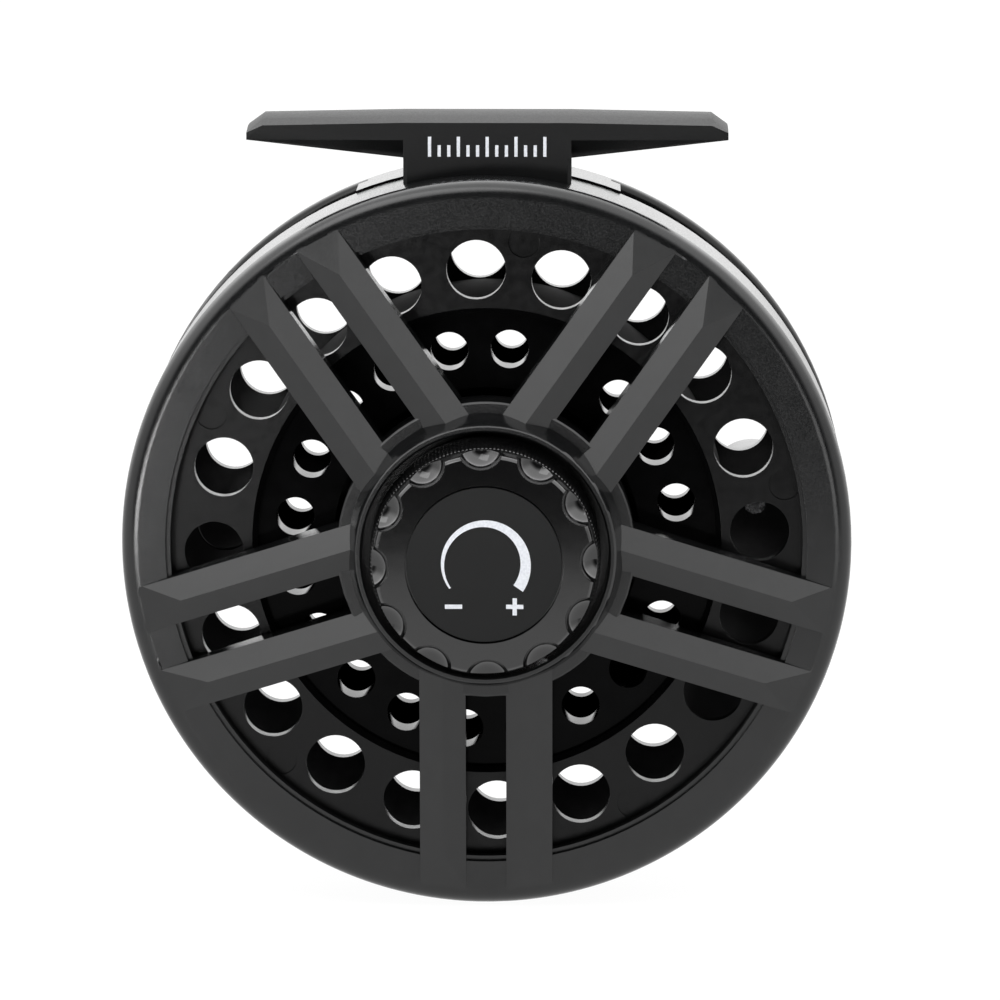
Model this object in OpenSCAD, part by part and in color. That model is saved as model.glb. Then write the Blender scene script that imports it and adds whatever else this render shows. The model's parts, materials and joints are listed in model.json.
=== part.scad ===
/* [Frame] */

// outside diameter of the back ring and rim wall, mm
ring_d = 95; // [76:1:120]
// inside radius of the back ring at its face
ring_inner_r = 41.75; // [33:0.05:53]
// height of the ring face in front of the reference plane
ring_face = 3.1; // [2:0.1:5]
// depth of the rim wall behind the reference plane
rim_depth = 14.7; // [10:0.1:20]
// radial thickness of the rim wall
rim_wall = 2.2; // [1.6:0.1:3]
// radius of the rounded shoulder between face and rim
shoulder_r = 2.3; // [1:0.1:3]
// how far the back of the ring and the ribs stays in front of the spool
back_plane = 0.4; // [0.3:0.05:1]

/* [Ribs] */

// number of pairs of ribs
rib_pairs = 5; // [3:1:7]
// sideways distance of each rib from the middle of its pair
rib_offset = 5.63; // [4:0.01:7]
// width of one rib
rib_width = 6; // [4:0.1:8]
// height of the ridge above the eaves of a rib
rib_roof = 1.8; // [0.5:0.1:3]
// rise of a rib towards the hub, degrees
rib_tilt = 8.4; // [0:0.1:15]

/* [Saddle and foot] */

// half the length of the saddle that carries the foot
saddle_half = 17.4; // [12:0.1:25]
// depth of the saddle behind the rim wall
saddle_depth = 13; // [8:0.1:16]
// how far the saddle stands above the rim
saddle_raise = 0.3; // [0.1:0.05:1]
// overall length of the reel foot
foot_length = 62.8; // [55:0.1:70]
// width of the reel foot across the rod
foot_width = 14.5; // [12:0.1:18]
// height of the foot's top above the reel axis
foot_top = 55.35; // [50:0.05:65]
// width of the stem between frame and foot
stem_width = 21.9; // [16:0.1:30]
// where the middle of the foot lies behind the reference plane
foot_mid = 12.75; // [8:0.05:18]

/* [Hub and drag knob] */

// radius of the hub behind the knob
hub_r = 19.3; // [16:0.1:24]
// height of the hub's flat shoulder
hub_step = 7.3; // [5:0.1:10]
// outer radius of the cup's lip
lip_r = 16.9; // [14:0.1:20]
// height of the cup's lip
lip_height = 12.2; // [9:0.1:15]
// inner radius of the cup
cup_bore_r = 15.95; // [13:0.05:18]
// thickness of the cup's floor
floor_thick = 3; // [2:0.1:5]
// radius of the drag knob at its base
knob_r = 14.7; // [11:0.05:16]
// height of the drag knob's face
knob_face = 20.6; // [16:0.1:26]
// number of finger scoops round the knob
scoop_count = 12; // [6:1:18]
// radius of one finger scoop
scoop_r = 3; // [1.5:0.1:4]
// radius of the disc set in the knob's face
badge_r = 9.95; // [6:0.05:12]

/* [Spool] */

// radius of the inner flange, which turns inside the rim wall
flange_r = 44.7; // [36:0.1:56]
// radius of the arbor the line is wound on
arbor_r = 31.6; // [20:0.1:40]
// inner radius of the hollow arbor
arbor_bore_r = 29.9; // [18:0.1:38]
// thickness of each flange
flange_thick = 2.3; // [1.6:0.1:4]
// depth of the outer flange's outside face
spool_depth = 30.3; // [22:0.1:36]
// number of holes in each ring of holes
hole_count = 20; // [10:1:30]
// radius of the large flange holes
big_hole_r = 3.87; // [2:0.01:5]
// distance of the large holes from the axis
big_hole_at = 35.6; // [28:0.1:42]
// radius of the small holes in the near web
small_hole_r = 2.5; // [1:0.01:3]
// radius of the small holes in the far web
far_hole_r = 2.26; // [1:0.01:3]
// distance of the small holes from the axis
small_hole_at = 25.2; // [18:0.1:30]
// depth of the near web's face
near_web = 2.5; // [1:0.1:8]
// thickness of the near web
web_thick = 5.2; // [2:0.1:7]
// depth of the far web's outside face
far_web = 25.8; // [16:0.1:28]
// thickness of the far web
far_thick = 2.8; // [2:0.1:5]
// angle of the first large hole, degrees
hole_phase = 2.2; // [0:0.1:18]
// radius of the moulding marks on the near flange
mark_r = 2.05; // [1:0.05:4]

/* [Handle] */

// angle of the handle round the spool, degrees
handle_angle = 2.2; // [-90:0.1:90]
// largest radius of the handle
handle_r = 6.2; // [4:0.1:9]
// length of the handle
handle_length = 18.6; // [12:0.1:26]

/* [Spindle and drag] */

// radius of the spindle
spindle_r = 3; // [2:0.05:5]
// play between a turning piece and its shaft
running_fit = 0.05; // [0.01:0.01:0.1]
// radius of the drag's friction faces
drag_r = 14.5; // [10:0.1:17]
// travel of the spindle when the drag is tightened
drag_travel = 0.3; // [0.1:0.05:0.5]
// number of click teeth
click_teeth = 24; // [12:1:40]

/* [Hidden] */

$fn = 96;
eps = 0.01;
ring_r = ring_d / 2;
rim_bore_r = ring_r - rim_wall;
saddle_end = rim_depth + saddle_depth;
ledge_r = ring_inner_r - 0.6;
ledge_face = ring_face - 0.9;
rib_eave = 3.9;
rib_eave_at = 39.8;
hip_at = 45.3;
hip_slope = 27.3;
pair_step = 360 / rib_pairs;
stem_half = stem_width / 2;
foot_front = foot_width / 2 - foot_mid;
foot_back = -foot_width / 2 - foot_mid;
foot_edge = foot_top - 1.1;
foot_root_low = 52;
foot_root_bottom = 49.3;
tip_taper = 2.2;
tip_low = 53.9;
tip_bottom = 51.5;
foot_screw_at = 6;
slice = 0.05;
cup_floor = back_plane + floor_thick;
big_step = 360 / hole_count;
rim_r = ring_r + 0.1;
rim_root_r = 44.2;
rim_front = saddle_end + 0.75;
rim_back = spool_depth + 1.7;
flange_face = 0.74;
solid_from = 18;
plug_hole = 10;
mark_at = 39.5;
mark_depth = 0.35;
mark_phase = 11;
rotor_face = 1.0;
rotor_thick = 1.8;
sleeve_r = 4.2;
sleeve_end = 13;
bearing_r = 7.2;
bearing_start = 4;
bearing_end = 12;
hub_flats = 19;
boss_r = 13;
bore_edge = 0.7;
pocket_r = 20;
pocket_wall = 2.1;
pocket_floor = 8.3;
boss_front = 3.6;
boss_back = 27;
thrust_at = 13.6;
clip_at = 14.4;
bushing_r = 5.5;
bushing_start = 16;
bushing_end = 24;
groove_r = 2.2;
latch_at = 25.2;
latch_thick = 0.9;
latch_hole_r = 4;
latch_shift = 1.45;
latch_half = 5.2;
grip_half = 2.6;
spindle_back = 26.9;
spindle_front = 17.4;
head_gap = 0.3;
knob_back = 6.4;
knob_wall = 2.1;
knob_roof = 16.8;
knob_grip = 15.5;
scoop_out = 0.45;
nut_flats = 8;
nut_low = 8.9;
nut_high = 12.9;
pawl_at = 17.35;
pawl_angle = 255;
post_fit_r = 0.9;
gear_r = 14.1;
gear_front = 5.6;
gear_thick = 1.6;
leaf_at = 12.6;
pad_face = spool_depth + 0.5;
handle_start = pad_face + 0.7;
handle_post_r = 1.5;
cap_r = 12.6;
cap_thick = 2.4;
cap_screw_at = 10.5;

// the drawing is made with z towards the angler and turned here so that z points away
module in_reel() {
    translate([0, -foot_mid, -foot_top])
        rotate([90, 0, 0])
            children();
}

// places copies round the reel axis
module around(count, first = 0) {
    for (i = [0 : count - 1])
        rotate([0, 0, first + i * 360 / count])
            children();
}

// a ring between two radii and two heights
module ring(outer, inner, low, high) {
    translate([0, 0, low])
        difference() {
            cylinder(r = outer, h = high - low);
            translate([0, 0, -1])
                cylinder(r = inner, h = high - low + 2);
        }
}

// a countersunk or pan head screw pointing down, its head's top at height zero
module small_screw(shank_r, head_r, head_h, length, slot_w = 0.5) {
    difference() {
        union() {
            translate([0, 0, -head_h])
                cylinder(r = head_r, h = head_h);
            translate([0, 0, -length])
                cylinder(r = shank_r, h = length - head_h + eps);
        }
        translate([-head_r - 1, -slot_w / 2, -head_h * 0.45])
            cube([2 * head_r + 2, slot_w, head_h]);
    }
}

/* ---- frame ---- */

// section of the back ring with its rounded shoulder and rim wall
module ring_section() {
    translate([ledge_r, back_plane])
        square([ring_r - shoulder_r - ledge_r, ledge_face - back_plane]);
    translate([ring_inner_r, back_plane])
        square([ring_r - shoulder_r - ring_inner_r, ring_face - back_plane]);
    translate([rim_bore_r, -rim_depth])
        square([rim_wall, rim_depth + ring_face - shoulder_r]);
    intersection() {
        translate([ring_r - shoulder_r, ring_face - shoulder_r])
            circle(r = shoulder_r);
        translate([ring_r - shoulder_r - eps, back_plane])
            square([shoulder_r + 1, ring_face]);
    }
}

// one rib with a ridge, cut off square at the back and hipped at its outer end
module rib(side) {
    hip_turn = atan2(side * rib_offset, rib_eave_at);
    difference() {
        intersection() {
            translate([rib_eave_at, side * rib_offset, rib_eave])
                rotate([0, rib_tilt, 0])
                    translate([-27, 0, 0])
                        rotate([90, 0, 90])
                            linear_extrude(height = 36)
                                polygon([[-rib_width / 2, -9], [rib_width / 2, -9], [rib_width / 2, 0],
                                         [0, rib_roof], [-rib_width / 2, 0]]);
            translate([14.5, -20, back_plane])
                cube([31.5, 40, 20]);
        }
        rotate([0, 0, hip_turn])
            translate([hip_at, 0, ring_face])
                rotate([0, hip_slope, 0])
                    translate([-16, -20, 0])
                        cube([40, 40, 20]);
    }
}

// section of the hub with the cup for the drag knob
module hub_section() {
    polygon([[spindle_r + running_fit, back_plane], [hub_r, back_plane], [hub_r, hub_step - 0.25],
             [hub_r - 0.25, hub_step], [lip_r + 0.95, hub_step], [lip_r, lip_height - 0.35],
             [lip_r - 0.3, lip_height], [cup_bore_r + 0.25, lip_height], [cup_bore_r, lip_height - 0.25],
             [cup_bore_r, cup_floor], [spindle_r + running_fit, cup_floor]]);
}

// curved block behind the rim wall that carries the back half of the foot
module saddle() {
    intersection() {
        ring(ring_r + saddle_raise, rim_bore_r, -saddle_end, -rim_depth + 0.001);
        union() {
            translate([-saddle_half + 1.2, 30, -saddle_end - 1])
                cube([2 * saddle_half - 2.4, 30, saddle_depth + 2]);
            translate([-saddle_half, 30, -saddle_end + 3])
                cube([2 * saddle_half, 30, saddle_depth]);
        }
    }
}

module frame() color([0.11, 0.11, 0.12]) in_reel() {
    difference() {
        union() {
            rotate_extrude($fn = 180)
                ring_section();
            around(rib_pairs, 54)
                for (side = [-1, 1])
                    rib(side);
            rotate_extrude($fn = 120)
                hub_section();
            saddle();
        }
        translate([0, 0, cup_floor])
            cylinder(r = cup_bore_r, h = 20);
        translate([0, 0, -5])
            cylinder(r = spindle_r + running_fit, h = 20);
        for (side = [-1, 1])
            translate([side * foot_screw_at, 40, -foot_mid])
                rotate([-90, 0, 0]) {
                    cylinder(r = 1.25, h = 12);
                    cylinder(r = 2.3, h = rim_bore_r - 39);
                }
        rotate([0, 0, pawl_angle])
            translate([pawl_at, 0, -2])
                cylinder(r = post_fit_r, h = 4);
        rotate([0, 0, -90])
            translate([leaf_at, 0, 1.4])
                cylinder(r = 0.7, h = 4);
    }
}

/* ---- foot ---- */

// cross-section of the foot; low is its front edge's lower end, bottom its underside
module foot_section(low, bottom, drop, half) {
    crown = foot_top - foot_edge;
    top = foot_top - drop;
    edge = foot_edge - drop * 1.2;
    shoulder = top - crown * 0.36;
    belly = low - (low - bottom) * 0.62;
    polygon([[half, low], [half, edge], [half * 0.62, shoulder], [2, top], [-2, top],
             [-half * 0.62, shoulder], [-half, edge], [-half, low], [-half * 0.72, belly],
             [-half * 0.35, bottom], [half * 0.35, bottom], [half * 0.72, belly]]);
}

// thin slice of the foot at a distance from its middle
module foot_slice(at, low, bottom, drop, half) {
    translate([0, 0, at])
        linear_extrude(height = slice)
            foot_section(low, bottom, drop, half);
}

// one wing of the foot, from the stem to a tip
module foot_wing() {
    half = foot_width / 2;
    hull() {
        foot_slice(stem_half - slice, foot_root_low, foot_root_bottom, 0, half);
        foot_slice(foot_length / 2 - tip_taper, tip_low, tip_bottom, 0.35, half);
        foot_slice(foot_length / 2 - slice, tip_low - 1, tip_bottom + 0.5, 1.9, half - 0.7);
    }
}

module reel_foot() color([0.10, 0.10, 0.11]) in_reel() {
    difference() {
        union() {
            for (turn = [90, -90])
                translate([0, 0, -foot_mid])
                    rotate([0, turn, 0])
                        foot_wing();
            translate([-stem_half, 0, -foot_mid])
                rotate([0, 90, 0])
                    linear_extrude(height = stem_width)
                        foot_section(foot_root_low, foot_root_bottom, 0, foot_width / 2);
            translate([-stem_half, 40, foot_back])
                cube([stem_width, foot_edge - 1.5 - 40, foot_width]);
        }
        translate([0, 0, -rim_depth])
            cylinder(r = ring_r, h = 40, $fn = 180);
        translate([0, 0, -rim_depth - 20])
            cylinder(r = ring_r + saddle_raise, h = 20 + eps, $fn = 180);
        for (side = [-1, 1])
            for (end = [foot_front, foot_back])
                translate([side * stem_half, 40, end])
                    rotate([0, 45, 0])
                        translate([-0.35, 0, -0.35])
                            cube([0.7, 9.5, 0.7]);
        for (side = [-1, 1])
            translate([side * foot_screw_at, 40, -foot_mid])
                rotate([-90, 0, 0])
                    cylinder(r = 1.22, h = 13);
    }
}

module foot_screws() color([0.55, 0.56, 0.58]) in_reel() {
    for (side = [-1, 1])
        translate([side * foot_screw_at, 45.1, -foot_mid])
            rotate([90, 0, 0])
                small_screw(1.2, 2.15, 1.2, 7.4);
}

/* ---- small parts on the frame ---- */

module friction_washer() color([0.20, 0.19, 0.18]) in_reel() {
    ring(drag_r, sleeve_r + 0.4, back_plane - 1, back_plane);
}

module click_leaf() color([0.62, 0.62, 0.64]) in_reel() {
    rotate([0, 0, -90])
        translate([leaf_at, 0, cup_floor]) {
            difference() {
                translate([-2, -2, 0])
                    cube([3.4, 9, 0.4]);
                translate([0, 0, -1])
                    cylinder(r = 0.75, h = 3);
            }
            translate([-1.5, 6.4, 0])
                rotate([0, 0, 12])
                    cube([2.6, 0.4, 2.4]);
        }
}

module click_leaf_screw() color([0.55, 0.56, 0.58]) in_reel() {
    rotate([0, 0, -90])
        translate([leaf_at, 0, cup_floor + 1.2])
            small_screw(0.66, 1.5, 0.8, 2.8, 0.35);
}

module pawl_post() color([0.62, 0.62, 0.64]) in_reel() {
    rotate([0, 0, pawl_angle])
        translate([pawl_at, 0, 0]) {
            translate([0, 0, -7.6])
                cylinder(r = post_fit_r - 0.02, h = 9.4);
            translate([0, 0, -8])
                cylinder(r = 1.5, h = 0.4);
        }
}

module click_pawl() color([0.75, 0.60, 0.30]) in_reel() {
    reach = pawl_at - gear_r - 0.35;
    thick = gear_thick - 0.2;
    rotate([0, 0, pawl_angle])
        translate([pawl_at, 0, -gear_front - gear_thick + 0.1])
            difference() {
                union() {
                    cylinder(r = 1.8, h = thick);
                    linear_extrude(height = thick)
                        polygon([[-reach, 0], [-0.5, 1.6], [-0.5, -1.6]]);
                    translate([-0.8, 0.5, 0])
                        cube([1.6, 3.7, thick]);
                }
                translate([0, 0, -1])
                    cylinder(r = post_fit_r + running_fit, h = thick + 2);
            }
}

module pawl_spring() color([0.70, 0.71, 0.73]) in_reel() {
    rotate([0, 0, pawl_angle])
        translate([pawl_at, 0, 0]) {
            ring(1.75, 1.0, -4.9, -3.3);
            translate([1.0, 0, -4.9])
                cube([0.6, 5, 0.6]);
        }
}

/* ---- spindle ---- */

module spindle() color([0.66, 0.67, 0.69]) in_reel() {
    difference() {
        translate([0, 0, -spindle_back])
            cylinder(r = spindle_r, h = spindle_back + spindle_front);
        ring(5, groove_r + 0.2, -clip_at - 0.9, -clip_at + 0.05);
        ring(5, groove_r, -latch_at - latch_thick - 0.6, -latch_at + 0.6);
        translate([0, 0, nut_low])
            cylinder(r = 1.25, h = 20);
    }
}

module spindle_clip() color([0.55, 0.56, 0.58]) in_reel() {
    difference() {
        ring(5, groove_r + 0.24, -clip_at - 0.8, -clip_at);
        translate([0, -1.2, -clip_at - 2])
            cube([8, 2.4, 4]);
    }
}

module thrust_washer() color([0.80, 0.66, 0.36]) in_reel() {
    ring(5.2, spindle_r + running_fit, -clip_at, -thrust_at);
}

// dished washers set back to back under the knob
module spring_washers() color([0.66, 0.67, 0.69]) in_reel() {
    for (i = [0 : 3])
        translate([0, 0, cup_floor + 0.1 + i * 1.15])
            rotate_extrude()
                if (i % 2 == 0)
                    polygon([[3.2, 0.4], [6.2, 0], [6.2, 0.5], [3.2, 0.9]]);
                else
                    polygon([[3.2, 0], [6.2, 0.4], [6.2, 0.9], [3.2, 0.5]]);
}

/* ---- drag knob ---- */

// half section of the knob, hollow from behind
module knob_section() {
    recess = badge_r + 0.22;
    polygon([[knob_r - knob_wall, knob_back], [knob_r, knob_back], [knob_r, knob_grip],
             [knob_r - 0.5, knob_face - 0.75], [knob_r - 0.65, knob_face - 0.35],
             [knob_r - 1, knob_face], [recess, knob_face],
             [recess, knob_face - 1], [4.2, knob_face - 1], [4.2, spindle_front - head_gap],
             [spindle_r + 0.35, spindle_front - head_gap], [spindle_r + 0.35, nut_low - 0.4],
             [7.2, nut_low - 0.4], [7.2, knob_roof], [knob_r - knob_wall, knob_roof]]);
}

module drag_knob() color([0.07, 0.07, 0.08]) in_reel() {
    difference() {
        rotate_extrude()
            knob_section();
        around(scoop_count, 1.7)
            translate([knob_r + scoop_out, 0, knob_face])
                sphere(r = scoop_r);
        translate([0, 0, nut_low - 1])
            cylinder(r = nut_flats / 2 / cos(30), h = nut_high - nut_low + 1, $fn = 6);
        around(click_teeth)
            translate([knob_r - knob_wall - 0.3, -0.3, knob_back - 0.4])
                cube([1.6, 0.6, 1]);
    }
}

module knob_nut() color([0.78, 0.62, 0.30]) in_reel() {
    difference() {
        translate([0, 0, nut_low])
            cylinder(r = (nut_flats - 0.04) / 2 / cos(30), h = nut_high - nut_low, $fn = 6);
        cylinder(r = spindle_r + running_fit, h = 30);
    }
}

module knob_badge() color([0.12, 0.12, 0.12]) in_reel() {
    translate([0, 0, knob_face - 1])
        cylinder(r = badge_r, h = 0.85);
}

module knob_retaining_screw() color([0.55, 0.56, 0.58]) in_reel() {
    head = 1.2;
    translate([0, 0, spindle_front + head])
        small_screw(1.2, 3.8, head, 7);
}

/* ---- drag and clutch ---- */

module drag_rotor() color([0.70, 0.71, 0.73]) in_reel() {
    difference() {
        union() {
            translate([0, 0, -rotor_face - rotor_thick])
                cylinder(r = drag_r + 0.5, h = rotor_thick);
            translate([0, 0, -sleeve_end])
                cylinder(r = sleeve_r, h = sleeve_end - rotor_face - 0.5);
        }
        translate([0, 0, -30])
            cylinder(r = spindle_r + running_fit, h = 40);
    }
}

module one_way_bearing() color([0.62, 0.62, 0.64]) in_reel() {
    ring(bearing_r, sleeve_r + 0.02, -bearing_end, -bearing_start);
}

module drive_hub() color([0.14, 0.14, 0.15]) in_reel() {
    difference() {
        translate([0, 0, -bearing_end - 0.6])
            cylinder(r = hub_flats / 2 / cos(30), h = bearing_end + 0.6 - boss_front, $fn = 6);
        translate([0, 0, -bearing_end])
            cylinder(r = bearing_r + 0.02, h = 20);
        translate([0, 0, -20])
            cylinder(r = sleeve_r + 0.4, h = 20);
    }
}

module click_gear() color([0.14, 0.14, 0.15]) in_reel() {
    translate([0, 0, -gear_front - gear_thick])
        linear_extrude(height = gear_thick)
            difference() {
                circle(r = gear_r);
                circle(r = boss_r + 0.02);
                around(click_teeth)
                    translate([gear_r, 0])
                        rotate([0, 0, 45])
                            square([1, 1], center = true);
            }
}

/* ---- spool ---- */

// half section of the spool before its holes are made
module spool_section() {
    flange_back = flange_face + flange_thick;
    outer_front = spool_depth - flange_thick;
    polygon([[arbor_bore_r + bore_edge, -flange_face], [flange_r, -flange_face], [flange_r, -flange_back],
             [arbor_bore_r, -flange_back], [arbor_bore_r, -flange_face - bore_edge]]);
    translate([arbor_bore_r, -spool_depth])
        square([arbor_r - arbor_bore_r, spool_depth - flange_back + eps]);
    translate([arbor_bore_r, -spool_depth])
        square([rim_root_r + 0.8 - arbor_bore_r, flange_thick]);
    translate([pocket_r, -near_web - web_thick])
        square([arbor_bore_r + 1 - pocket_r, web_thick]);
    translate([pocket_r, -pocket_floor - web_thick])
        square([pocket_wall, pocket_floor + web_thick - near_web]);
    translate([boss_r - 1, -pocket_floor - web_thick])
        square([pocket_r + pocket_wall - boss_r + 1, web_thick]);
    translate([boss_r - 1, -far_web])
        square([arbor_bore_r + 1 - boss_r + 1, far_thick]);
    translate([0, -boss_back])
        square([boss_r, boss_back - boss_front]);
    rim_bead();
}

// rounded palming rim of the outer flange
module rim_bead() {
    bead = 1.5;
    translate([rim_root_r, -rim_back])
        square([rim_r - bead - rim_root_r, rim_back - rim_front]);
    translate([rim_r - bead - eps, -rim_back + bead])
        square([bead + eps, rim_back - rim_front - 2 * bead]);
    for (h = [-rim_back + bead, -rim_front - bead])
        translate([rim_r - bead, h])
            circle(r = bead);
}

// part of a ring of holes through the spool, from the first angle on
module hole_ring(radius, at, first, low, depth, last) {
    for (i = [0 : last])
        rotate([0, 0, first + i * big_step])
            translate([at, 0, -low - depth])
                cylinder(r = radius, h = depth, $fn = 48);
}

module spool_hollow() {
    translate([0, 0, -bearing_end - 0.7])
        cylinder(r = (hub_flats + 0.06) / 2 / cos(30), h = 20, $fn = 6);
    translate([0, 0, -bushing_start])
        cylinder(r = bushing_r + 1, h = 20);
    translate([0, 0, -bushing_end])
        cylinder(r = bushing_r + 0.02, h = 20);
    translate([0, 0, -40])
        cylinder(r = spindle_r + 0.5, h = 40);
    translate([0, 0, -boss_back - 1]) {
        pocket = boss_back + 1 - latch_at + 0.3;
        translate([-9, -latch_half - 0.3, 0])
            cube([19.2, 2 * latch_half + 0.6, pocket]);
        translate([0, -grip_half - 0.4, 0])
            cube([11.6, 2 * grip_half + 0.8, pocket]);
        translate([-4, latch_half, 0])
            cube([8, 3.3, pocket]);
    }
    for (side = [-1, 1])
        translate([0, side * cap_screw_at, -boss_back - 1])
            cylinder(r = 1.12, h = 6);
}

module spool() color([0.10, 0.10, 0.11]) in_reel() {
    last = hole_count - 1;
    difference() {
        union() {
            rotate_extrude($fn = 180)
                spool_section();
            rotate([0, 0, handle_angle])
                translate([big_hole_at, 0, -pad_face])
                    cylinder(r = 6.4, h = pad_face - spool_depth + 1);
        }
        hole_ring(big_hole_r, big_hole_at, hole_phase, 0, 5, last);
        hole_ring(big_hole_r, big_hole_at, hole_phase + big_step, spool_depth - 3, 5, solid_from - 2);
        hole_ring(small_hole_r, small_hole_at, hole_phase + big_step / 2, near_web - 1, 8, last);
        hole_ring(far_hole_r, small_hole_at, hole_phase - big_step * 1.5, far_web - 7, 8, last - 1);
        around(rib_pairs, mark_phase)
            translate([mark_at, 0, -flange_face - mark_depth])
                cylinder(r = mark_r, h = 2, $fn = 48);
        rotate([0, 0, handle_angle])
            translate([big_hole_at, 0, -pad_face - 1])
                cylinder(r = handle_post_r + 0.02, h = 10);
        spool_hollow();
    }
}

module spool_bushing() color([0.78, 0.62, 0.30]) in_reel() {
    ring(bushing_r, spindle_r + running_fit, -bushing_end, -bushing_start);
}

module counterweight() color([0.30, 0.30, 0.31]) in_reel() {
    rotate([0, 0, hole_phase + plug_hole * big_step])
        translate([big_hole_at, 0, 0]) {
            translate([0, 0, -spool_depth])
                cylinder(r = big_hole_r - 0.02, h = flange_thick);
            translate([0, 0, -spool_depth - 2.6])
                cylinder(r = big_hole_r + 1.3, h = 2.6);
        }
}

/* ---- handle ---- */

module at_handle() {
    rotate([0, 0, handle_angle])
        translate([big_hole_at, 0, 0])
            children();
}

module handle_post() color([0.66, 0.67, 0.69]) in_reel() at_handle() {
    finish = handle_start + handle_length;
    translate([0, 0, -finish + 0.6])
        cylinder(r = handle_post_r, h = finish - 0.6 - spool_depth + flange_thick - 0.1);
    difference() {
        translate([0, 0, -finish + 0.4])
            cylinder(r = 3, h = 1.2);
        translate([-4, -0.35, -finish])
            cube([8, 0.7, 1]);
    }
}

module handle_washer() color([0.66, 0.67, 0.69]) in_reel() at_handle() {
    ring(3.6, handle_post_r + 0.02, -pad_face - 0.4, -pad_face);
}

module handle_knob() color([0.08, 0.08, 0.09]) in_reel() at_handle() {
    finish = handle_start + handle_length;
    mid = handle_start + handle_length * 0.45;
    rotate_extrude()
        polygon([[handle_post_r + running_fit, -handle_start], [handle_r - 1.5, -handle_start],
                 [handle_r - 1.1, -handle_start - 0.5], [handle_r - 1.5, -mid],
                 [handle_r - 0.5, -mid - 4.2], [handle_r, -finish + 3.6], [handle_r - 0.2, -finish + 1.4],
                 [handle_r - 1, -finish + 0.4], [handle_r - 2, -finish], [3.4, -finish],
                 [3.4, -finish + 2], [handle_post_r + running_fit, -finish + 2]]);
}

/* ---- spool release ---- */

module hub_cap() color([0.09, 0.09, 0.10]) in_reel() {
    difference() {
        rotate_extrude()
            polygon([[0, -boss_back], [cap_r, -boss_back], [cap_r, -boss_back - 1.2],
                     [cap_r - 1.2, -boss_back - cap_thick], [0, -boss_back - cap_thick]]);
        translate([6.2, -grip_half - 0.4, -boss_back - 4])
            cube([5.4, 2 * grip_half + 0.8, 6]);
        for (side = [-1, 1])
            translate([0, side * cap_screw_at, -boss_back - 4]) {
                cylinder(r = 1.3, h = 6);
                cylinder(r = 1.85, h = 2.5);
            }
    }
}

module cap_screws() color([0.55, 0.56, 0.58]) in_reel() {
    for (side = [-1, 1])
        translate([0, side * cap_screw_at, -boss_back - cap_thick + 0.1])
            rotate([180, 0, 0])
                small_screw(1.1, 1.7, 0.8, 5.2);
}

module release_latch() color([0.16, 0.16, 0.17]) in_reel() {
    difference() {
        union() {
            translate([-8, -latch_half, -latch_at - latch_thick])
                cube([16.4, 2 * latch_half, latch_thick]);
            translate([6.6, -grip_half, -boss_back - 3.8])
                cube([3, 2 * grip_half, boss_back + 3.8 - latch_at - 0.1]);
        }
        translate([-latch_shift, 0, -latch_at - 3])
            cylinder(r = latch_hole_r, h = 6);
    }
}

module latch_spring() color([0.70, 0.71, 0.73]) in_reel() {
    translate([0, 7, -latch_at - 1.1]) {
        ring(1.4, 0.9, 0, 1);
        translate([0.9, -1.2, 0])
            cube([2.8, 0.5, 1]);
        translate([-3.7, -1.2, 0])
            cube([2.8, 0.5, 1]);
    }
}

frame();
reel_foot();
foot_screws();
friction_washer();
click_leaf();
click_leaf_screw();
pawl_post();
click_pawl();
pawl_spring();
spindle();
spindle_clip();
thrust_washer();
spring_washers();
drag_knob();
knob_nut();
knob_badge();
knob_retaining_screw();
drag_rotor();
one_way_bearing();
drive_hub();
spool();
spool_bushing();
click_gear();
counterweight();
handle_post();
handle_washer();
handle_knob();
hub_cap();
cap_screws();
release_latch();
latch_spring();
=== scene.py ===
import json
import math

import bmesh
import bpy
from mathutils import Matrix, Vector


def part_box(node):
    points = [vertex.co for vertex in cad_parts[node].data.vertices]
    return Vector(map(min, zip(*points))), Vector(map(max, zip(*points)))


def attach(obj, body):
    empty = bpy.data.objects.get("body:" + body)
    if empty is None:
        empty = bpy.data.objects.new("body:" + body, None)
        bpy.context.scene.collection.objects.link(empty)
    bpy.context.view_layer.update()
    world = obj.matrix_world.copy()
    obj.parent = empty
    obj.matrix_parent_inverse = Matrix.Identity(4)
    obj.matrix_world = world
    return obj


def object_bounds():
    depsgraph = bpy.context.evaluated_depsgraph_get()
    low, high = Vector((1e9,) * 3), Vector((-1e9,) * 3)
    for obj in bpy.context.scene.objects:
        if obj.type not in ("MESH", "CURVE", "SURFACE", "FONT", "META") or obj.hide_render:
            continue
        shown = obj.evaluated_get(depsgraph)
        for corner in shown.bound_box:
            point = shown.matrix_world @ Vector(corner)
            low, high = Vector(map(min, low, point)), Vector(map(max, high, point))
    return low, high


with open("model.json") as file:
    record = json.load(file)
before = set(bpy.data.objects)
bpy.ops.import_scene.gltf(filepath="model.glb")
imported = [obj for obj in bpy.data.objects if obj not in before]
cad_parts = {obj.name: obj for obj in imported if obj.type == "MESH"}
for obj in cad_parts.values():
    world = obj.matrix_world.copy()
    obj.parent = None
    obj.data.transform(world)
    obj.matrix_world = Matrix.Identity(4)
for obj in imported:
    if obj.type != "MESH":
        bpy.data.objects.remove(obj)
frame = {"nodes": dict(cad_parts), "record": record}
cad_low, cad_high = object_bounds()
NODES = frame["nodes"]
MM = 0.001

# ---- places taken from the frame ----

knob_low, knob_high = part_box("drag_knob")
foot_low, foot_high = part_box("reel_foot")
badge_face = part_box("knob_badge")[0].y

# The reel's axis runs along Y, through the middle of the drag knob.
axis_x = (knob_low.x + knob_high.x) / 2
axis_z = (knob_low.z + knob_high.z) / 2
AXIS = Vector((axis_x, 0, axis_z))

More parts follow.
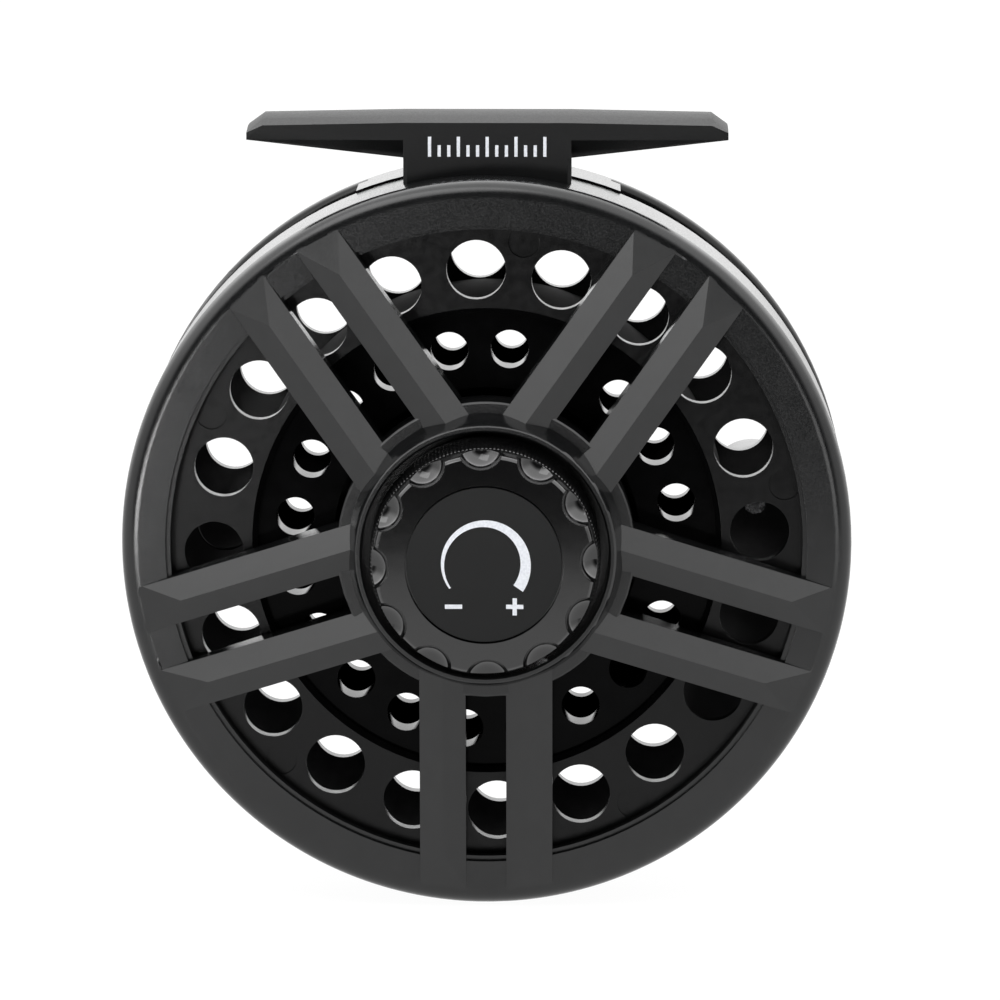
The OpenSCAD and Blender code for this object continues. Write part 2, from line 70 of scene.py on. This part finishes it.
# Regions of the spool's one moulding: its webs, and the arbor between the two flanges.
WEB_RADIUS = 30.5 * MM
ARBOR_INNER, ARBOR_OUTER = 31.0 * MM, 32.2 * MM
LINE_FRONT, LINE_BACK = -9.6 * MM, 15.0 * MM


# ---- node trees ----

class Nodes:
    """A node tree with short calls to add, join and reckon with nodes."""

    def __init__(self, tree):
        self.tree = tree

    def add(self, kind, **settings):
        node = self.tree.nodes.new(kind)
        for key, value in settings.items():
            setattr(node, key, value)
        return node

    def join(self, start, end):
        self.tree.links.new(start, end)

    def feed(self, socket, value):
        """Sets a socket to a number, or joins another node's output to it."""
        if isinstance(value, (int, float)):
            socket.default_value = value
        else:
            self.join(value, socket)

    def maths(self, operation, a, b):
        node = self.add("ShaderNodeMath", operation=operation)
        self.feed(node.inputs[0], a)
        self.feed(node.inputs[1], b)
        return node.outputs[0]

    def times(self, a, b):
        return self.maths("MULTIPLY", a, b)

    def between(self, value, low, high):
        """Mask: one where the value is between low and high, and zero elsewhere."""
        return self.times(self.maths("GREATER_THAN", value, low), self.maths("LESS_THAN", value, high))

    def mix(self, mask, where_zero, where_one):
        node = self.add("ShaderNodeMix")
        self.join(mask, node.inputs["Factor"])
        self.feed(node.inputs["A"], where_zero)
        self.feed(node.inputs["B"], where_one)
        return node.outputs["Result"]

    def remap(self, value, low, high, to_low, to_high, **settings):
        node = self.add("ShaderNodeMapRange", **settings)
        for name, number in (("From Min", low), ("From Max", high), ("To Min", to_low), ("To Max", to_high)):
            node.inputs[name].default_value = number
        self.join(value, node.inputs["Value"])
        return node.outputs["Result"]


# Nearly all of a noise texture's values lie between these two.
NOISE_LOW, NOISE_HIGH = 0.3, 0.7


class Material(Nodes):
    """A material around one Principled shader, patterned in the piece's own coordinates."""

    def __init__(self, name):
        self.material = bpy.data.materials.new(name)
        self.material.use_nodes = True
        super().__init__(self.material.node_tree)
        self.shader = self.tree.nodes["Principled BSDF"]
        self.place = self.add("ShaderNodeTexCoord").outputs["Object"]

    def noise(self, size, detail=3.0, stretch=(1, 1, 1)):
        """Noise whose grains are about size metres across, drawn out by stretch."""
        scaled = self.add("ShaderNodeMapping")
        scaled.inputs["Scale"].default_value = [1 / (size * s) for s in stretch]
        texture = self.add("ShaderNodeTexNoise")
        texture.inputs["Scale"].default_value = 1.0
        texture.inputs["Detail"].default_value = detail
        self.join(self.place, scaled.inputs["Vector"])
        self.join(scaled.outputs["Vector"], texture.inputs["Vector"])
        return texture.outputs["Fac"]

    def span(self, noise, low, high):
        """Spreads noise over the range from low to high."""
        return self.remap(noise, NOISE_LOW, NOISE_HIGH, low, high)

    def tint(self, noise, dark, light):
        """Base colour between two colours, by noise."""
        ramp = self.add("ShaderNodeValToRGB")
        ends = ramp.color_ramp.elements
        for end, position, colour in ((ends[0], NOISE_LOW, dark), (ends[1], NOISE_HIGH, light)):
            end.position = position
            end.color = (*colour, 1)
        self.join(noise, ramp.inputs["Fac"])
        self.join(ramp.outputs["Color"], self.shader.inputs["Base Color"])

    def bump(self, noise, height, last=None):
        """Relief of that height in metres, on top of an earlier bump."""
        node = self.add("ShaderNodeBump")
        node.inputs["Distance"].default_value = height
        node.inputs["Strength"].default_value = 1.0
        self.join(noise, node.inputs["Height"])
        if last:
            self.join(last, node.inputs["Normal"])
        return node.outputs["Normal"]

    def waves(self):
        """The slight waviness of a moulded face."""
        return self.bump(self.noise(7 * MM, 2.0), 0.012 * MM)

    def mottle(self):
        """Faint cloudiness in a moulding's colour."""
        return self.noise(2.5 * MM, 4.0)

    def radius_and_depth(self):
        """Distance from the reel's axis, and the place along it."""
        place = self.add("ShaderNodeSeparateXYZ")
        self.join(self.place, place.inputs[0])
        across = self.add("ShaderNodeCombineXYZ")
        lifted = self.maths("SUBTRACT", place.outputs["Z"], axis_z)
        self.join(place.outputs["X"], across.inputs["X"])
        self.join(lifted, across.inputs["Z"])
        length = self.add("ShaderNodeVectorMath", operation="LENGTH")
        self.join(across.outputs[0], length.inputs[0])
        return length.outputs["Value"], place.outputs["Y"]

    def finish(self, normal):
        self.join(normal, self.shader.inputs["Normal"])
        return self.material


# ---- materials ----

def plastic(name, dark, light, gloss, grain=0.12 * MM, relief=0.004 * MM, streak=(1, 1, 1), shine=0.5):
    """Moulded plastic: mottled colour, uneven gloss, a fine grain and slight waviness."""
    m = Material(name)
    m.shader.inputs["Specular IOR Level"].default_value = shine
    speckle = m.noise(0.16 * MM, 1.0)
    m.tint(m.times(m.maths("ADD", m.mottle(), speckle), 0.5), dark, light)
    m.join(m.span(m.noise(0.2 * MM, 4.0), *gloss), m.shader.inputs["Roughness"])
    return m.finish(m.bump(m.noise(grain, 3.0, streak), relief, m.waves()))


def spool_plastic():
    """The spool's plastic: satin flanges, polished webs, and an arbor roughened to grip the line."""
    m = Material("spool_plastic")
    radius, depth = m.radius_and_depth()
    web = m.maths("LESS_THAN", radius, WEB_RADIUS)
    arbor = m.times(m.between(radius, ARBOR_INNER, ARBOR_OUTER), m.between(depth, LINE_FRONT, LINE_BACK))
    m.tint(m.mottle(), (0.0020, 0.0020, 0.0021), (0.0034, 0.0034, 0.0036))

    satin = m.span(m.noise(1.2 * MM, 5.0), 0.20, 0.27)
    polished, roughened = 0.12, 0.9
    m.join(m.mix(arbor, m.mix(web, satin, polished), roughened), m.shader.inputs["Roughness"])

    flange_shine, web_shine, arbor_shine = 0.22, 0.04, 0.08
    m.join(m.mix(arbor, m.mix(web, flange_shine, web_shine), arbor_shine),
           m.shader.inputs["Specular IOR Level"])
    return m.finish(m.bump(m.noise(0.12 * MM), 0.001 * MM, m.waves()))


def metal(name, dark, light, gloss, streak):
    """Turned or drawn metal, with fine tool marks along one direction."""
    m = Material(name)
    m.shader.inputs["Metallic"].default_value = 1.0
    m.tint(m.noise(1.5 * MM, 4.0), dark, light)
    m.join(m.span(m.noise(0.6 * MM, 4.0), *gloss), m.shader.inputs["Roughness"])
    return m.finish(m.bump(m.noise(0.08 * MM, 2.0, streak), 0.003 * MM))


def woven(name):
    """Woven friction cloth: crossed threads in a dark resin."""
    m = Material(name)
    m.tint(m.noise(0.4 * MM), (0.03, 0.028, 0.025), (0.10, 0.095, 0.085))
    m.shader.inputs["Roughness"].default_value = 0.75
    thread, thread_height, drawn_out = 0.25 * MM, 0.02 * MM, 5
    threads = m.bump(m.noise(thread, 1.0, (drawn_out, 1, 1)), thread_height)
    return m.finish(m.bump(m.noise(thread, 1.0, (1, 1, drawn_out)), thread_height, threads))


def print_ink(name):
    """White pad-printed ink, slightly uneven."""
    m = Material(name)
    m.tint(m.noise(0.3 * MM, 4.0), (0.60, 0.62, 0.66), (0.74, 0.76, 0.80))
    m.join(m.span(m.noise(0.2 * MM), 0.45, 0.6), m.shader.inputs["Roughness"])
    return m.finish(m.bump(m.noise(0.05 * MM), 0.002 * MM))


ALONG_X, ALONG_Y = (30, 1, 1), (1, 30, 1)
LOOKS = {
    "frame_black": plastic("frame_plastic", dark=(0.0030, 0.0032, 0.0034), light=(0.0085, 0.0087, 0.0090),
                           gloss=(0.15, 0.27), relief=0.0016 * MM),
    "foot_black": plastic("foot_plastic", dark=(0.0035, 0.0037, 0.0039), light=(0.0055, 0.0057, 0.0059),
                          gloss=(0.46, 0.58), grain=0.2 * MM, streak=ALONG_X, shine=0.17),
    "spool_black": spool_plastic(),
    "knob_black": plastic("knob_plastic", dark=(0.002, 0.002, 0.0021), light=(0.0032, 0.0032, 0.0033),
                          gloss=(0.08, 0.12), relief=0.0006 * MM, shine=0.75),
    "badge_black": plastic("badge_film", dark=(0.0045, 0.0048, 0.0048), light=(0.0055, 0.0058, 0.0058),
                           gloss=(0.42, 0.50), relief=0.002 * MM, shine=0.22),
    "inner_black": plastic("inner_plastic", dark=(0.02, 0.02, 0.021), light=(0.03, 0.03, 0.031),
                           gloss=(0.35, 0.45)),
    "friction": woven("friction_cloth"),
    "steel": metal("turned_steel", dark=(0.52, 0.52, 0.53), light=(0.62, 0.62, 0.63),
                   gloss=(0.18, 0.30), streak=ALONG_Y),
    "spring_steel": metal("spring_steel", dark=(0.60, 0.60, 0.61), light=(0.70, 0.70, 0.71),
                          gloss=(0.15, 0.25), streak=ALONG_X),
    "brass": metal("turned_brass", dark=(0.62, 0.46, 0.22), light=(0.74, 0.57, 0.29),
                   gloss=(0.2, 0.32), streak=ALONG_Y),
}
INK = print_ink("white_ink")


def dress(thing, material):
    thing.data.materials.clear()
    thing.data.materials.append(material)


# ---- edges and shading of the CAD's meshes ----

FLAT_BELOW = math.radians(0.2)
SHARP_FROM = math.radians(28)
BEVEL_FROM = math.radians(29)


def smoothing():
    """Node group that shades smooth, apart from sharp edges."""
    group = bpy.data.node_groups.new("smooth_by_angle", "GeometryNodeTree")
    for side in ("INPUT", "OUTPUT"):
        group.interface.new_socket("Geometry", in_out=side, socket_type="NodeSocketGeometry")
    g = Nodes(group)
    start, end = g.add("NodeGroupInput"), g.add("NodeGroupOutput")
    forget = g.add("GeometryNodeRemoveAttribute")
    forget.inputs["Name"].default_value = "custom_normal"
    faces = g.add("GeometryNodeSetShadeSmooth")
    edges = g.add("GeometryNodeSetShadeSmooth", domain="EDGE")
    edges.inputs["Shade Smooth"].default_value = False
    angle = g.add("GeometryNodeInputMeshEdgeAngle")
    sharp = g.add("FunctionNodeCompare", operation="GREATER_THAN")
    sharp.inputs["B"].default_value = SHARP_FROM
    g.join(start.outputs[0], forget.inputs["Geometry"])
    g.join(forget.outputs[0], faces.inputs["Geometry"])
    g.join(faces.outputs[0], edges.inputs["Geometry"])
    g.join(angle.outputs["Unsigned Angle"], sharp.inputs["A"])
    g.join(sharp.outputs[0], edges.inputs["Selection"])
    g.join(edges.outputs[0], end.inputs[0])
    return group


SMOOTH = smoothing()


def soften(part, width):
    """Rounds the part's edges as a moulding tool or a tumbler does, with clean shading."""
    weld = part.modifiers.new("weld", "WELD")
    weld.merge_threshold = 0.001 * MM
    flat = part.modifiers.new("flat", "DECIMATE")
    flat.decimate_type = "DISSOLVE"
    flat.angle_limit = FLAT_BELOW
    edge = part.modifiers.new("edge", "BEVEL")
    edge.width = width
    edge.segments = 2
    edge.limit_method = "ANGLE"
    edge.angle_limit = BEVEL_FROM
    edge.use_clamp_overlap = True
    part.modifiers.new("smooth", "NODES").node_group = SMOOTH
    shade = part.modifiers.new("shade", "WEIGHTED_NORMAL")
    shade.keep_sharp = True


# Edge roundings in millimetres; the small inner parts have the last one.
EDGE_WIDTH = {"frame": 0.22, "reel_foot": 0.35, "spool": 0.15, "drag_knob": 0.2, "hub_cap": 0.3,
              "handle_knob": 0.3, "counterweight": 0.4, "release_latch": 0.15, "handle_post": 0.15}
SMALL_EDGE = 0.08
for row in frame["record"]["subparts"]:
    node = NODES[row["node"]]
    dress(node, LOOKS[row["material_slot"]])
    soften(node, EDGE_WIDTH.get(row["node"], SMALL_EDGE) * MM)


# ---- pieces made here ----

def piece(name, shape, body, material):
    """Turns a bmesh into a piece that rides on a body."""
    mesh = bpy.data.meshes.new(name)
    bmesh.ops.recalc_face_normals(shape, faces=shape.faces)
    shape.to_mesh(mesh)
    shape.free()
    made = bpy.data.objects.new(name, mesh)
    bpy.context.scene.collection.objects.link(made)
    dress(made, material)
    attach(made, body)
    return made


def round_axis(radius, angle):
    """The x and z of a point at that radius and angle round the reel's axis."""
    return axis_x + radius * math.cos(angle), axis_z + radius * math.sin(angle)


def knurl_band():
    """Fine upright teeth round the wall of the drag knob."""
    teeth, tooth = 180, (0, 0.75, 1, 0.75)
    count = teeth * len(tooth)
    wall = (knob_high.x - knob_low.x) / 2
    # In millimetres: place behind the knob's front, distance inside its wall, height of the teeth.
    # The teeth follow the wall's taper, run out into it, and the band closes inside the wall.
    section = [(11.5, 0, 0.18), (5.2, 0, 0.18), (3.4, 0.30, 0.18),
               (3.0, 0.41, 0), (3.0, 0.7, 0), (11.5, 0.7, 0)]

    bm = bmesh.new()
    rings = []
    for behind, inside, height in section:
        ring = []
        for i in range(count):
            radius = wall + (tooth[i % len(tooth)] * height - inside) * MM
            x, z = round_axis(radius, 2 * math.pi * i / count)
            ring.append(bm.verts.new((x, knob_low.y + behind * MM, z)))
        rings.append(ring)
    for a, b in zip(rings, rings[1:] + rings[:1]):
        for i in range(count):
            j = (i + 1) % count
            bm.faces.new((a[i], a[j], b[j], b[i]))
    piece("knob_knurl", bm, "drag_knob", LOOKS["knob_black"])


# The printing stands this far proud of the face under it, and goes on into it.
INK_PROUD = 0.02 * MM


def flat_plate(bm, outline, y, thick):
    """A thin plate with that outline of x, z points, its front face at y."""
    front = [bm.verts.new((x, y, z)) for x, z in outline]
    back = [bm.verts.new((x, y + thick, z)) for x, z in outline]
    bm.faces.new(front)
    bm.faces.new(list(reversed(back)))
    for i in range(len(outline)):
        j = (i + 1) % len(outline)
        bm.faces.new((front[i], front[j], back[j], back[i]))


def bar(bm, middle_x, middle_z, wide, high, y, thick):
    x, z = wide / 2, high / 2
    corners = [(middle_x + a * x, middle_z + b * z) for a, b in ((-1, -1), (1, -1), (1, 1), (-1, 1))]
    flat_plate(bm, corners, y, thick)


def drag_mark():
    """Printed sign on the knob: a wedge-shaped arc that grows from minus to plus."""
    y, thick = badge_face - INK_PROUD, 0.05 * MM
    arc_radius, steps = 5.3 * MM, 48
    start, end = math.radians(215), math.radians(-35)
    thin_end, growth = 0.12 * MM, 0.62 * MM
    outer, inner = [], []
    for i in range(steps + 1):
        angle = start + (end - start) * i / steps
        half = thin_end + growth * i / steps
        outer.append(round_axis(arc_radius + half, angle))
        inner.append(round_axis(arc_radius - half, angle))
    bm = bmesh.new()
    flat_plate(bm, outer + inner[::-1], y, thick)

    beside, below, long, wide = 3.9 * MM, 5.4 * MM, 2.2 * MM, 0.55 * MM
    z = axis_z - below
    for x in (axis_x - beside, axis_x + beside):
        bar(bm, x, z, long, wide, y, thick)
    for side in (-1, 1):
        bar(bm, axis_x + beside, z + side * (long + wide) / 4, wide, (long - wide) / 2, y, thick)
    piece("drag_mark", bm, "drag_knob", INK)


def stem_marks():
    """Printed row of plain ticks on the front of the foot's stem."""
    y, thick = foot_low.y - INK_PROUD, 0.06 * MM
    ticks, pitch, tick_width = 13, 1.25 * MM, 0.42 * MM
    tall, short = 2.6 * MM, 1.5 * MM
    bottoms = foot_high.z - 5.5 * MM
    bm = bmesh.new()
    for i in range(ticks):
        high = tall if i % 3 == 0 else short
        bar(bm, (i - (ticks - 1) / 2) * pitch, bottoms + high / 2, tick_width, high, y, thick)
    piece("stem_marks", bm, "frame", INK)


knurl_band()
drag_mark()
stem_marks()


# ---- studio ----

def studio_floor():
    """A pale floor under the reel, which starts a little way in front of it."""
    z = cad_low.z - 0.2 * MM
    front, back, side = -0.36, 4.0, 2.5
    mesh = bpy.data.meshes.new("floor")
    mesh.from_pydata([(-side, front, z), (side, front, z), (side, back, z), (-side, back, z)], [],
                     [(0, 1, 2, 3)])
    floor = bpy.data.objects.new("floor", mesh)
    bpy.context.scene.collection.objects.link(floor)

    # Paper that glows evenly, so it stays plain, and lets the light through from below.
    m = Material("floor_paper")
    glow = m.add("ShaderNodeEmission")
    glow.inputs["Strength"].default_value = 0.97
    paper = m.add("ShaderNodeBsdfDiffuse")
    paper.inputs["Color"].default_value = (0.05, 0.05, 0.05, 1)
    both = m.add("ShaderNodeAddShader")
    m.join(glow.outputs[0], both.inputs[0])
    m.join(paper.outputs[0], both.inputs[1])
    pick = m.add("ShaderNodeMixShader")
    m.join(m.add("ShaderNodeNewGeometry").outputs["Backfacing"], pick.inputs[0])
    m.join(both.outputs[0], pick.inputs[1])
    m.join(m.add("ShaderNodeBsdfTransparent").outputs[0], pick.inputs[2])
    m.join(pick.outputs[0], m.tree.nodes["Material Output"].inputs["Surface"])
    floor.data.materials.append(m.material)


def studio_world():
    """White all round, brighter overhead and behind, and dim in front, where the room is."""
    world = bpy.data.worlds.new("studio")
    bpy.context.scene.world = world
    world.use_nodes = True
    w = Nodes(world.node_tree)
    sky = w.tree.nodes["Background"]
    sky.inputs["Color"].default_value = (1, 1, 1, 1)

    way = w.add("ShaderNodeSeparateXYZ")
    w.join(w.add("ShaderNodeTexCoord").outputs["Generated"], way.inputs[0])

    def fade(axis, low, high, to_low, to_high):
        return w.remap(way.outputs[axis], low, high, to_low, to_high, interpolation_type="SMOOTHSTEP")

    in_front = fade("Y", -0.80, -0.46, 1.0, 0.0)
    overhead = fade("Z", 0.15, 0.60, 1.0, 2.3)
    behind = fade("Y", 0.10, 0.50, 1.0, 1.5)
    from_left = fade("X", -0.75, 0.75, 1.05, 1.0)
    room = w.maths("SUBTRACT", 1.0, w.times(in_front, 0.99))
    light = w.times(w.times(room, overhead), w.times(behind, from_left))

    # The camera itself sees plain white.
    seen = w.add("ShaderNodeLightPath").outputs["Is Camera Ray"]
    w.join(w.mix(seen, light, 1.05), sky.inputs["Strength"])


def softbox(name, place, wide, high, power):
    """A rectangular area light aimed at the reel's middle."""
    light = bpy.data.lights.new(name, "AREA")
    light.shape = "RECTANGLE"
    light.size, light.size_y, light.energy = wide, high, power
    lamp = bpy.data.objects.new(name, light)
    lamp.location = place
    lamp.rotation_euler = (AXIS - place).to_track_quat("-Z", "Y").to_euler()
    bpy.context.scene.collection.objects.link(lamp)


def camera():
    """A long lens a little above the reel's axis, looking down at it, as fitted to the photograph."""
    lens = bpy.data.cameras.new("camera")
    lens.lens = 248.1
    lens.sensor_width = 36.0
    lens.clip_start, lens.clip_end = 0.05, 50.0
    view = bpy.data.objects.new("camera", lens)
    view.location = AXIS + Vector((0.01406, -0.90157, 0.12822))
    view.rotation_euler = (math.radians(82.141), 0, math.radians(0.794))
    bpy.context.scene.collection.objects.link(view)
    bpy.context.scene.camera = view


studio_floor()
studio_world()
softbox("top_light", Vector((-0.25, -0.45, 0.75)), wide=0.7, high=0.5, power=2.0)
softbox("left_light", AXIS + Vector((-0.35, -0.88, -0.20)), wide=0.38, high=0.28, power=8.5)
softbox("right_light", AXIS + Vector((0.34, -0.88, -0.14)), wide=0.34, high=0.36, power=1.1)
camera()
bpy.context.scene.view_settings.view_transform = "Standard"
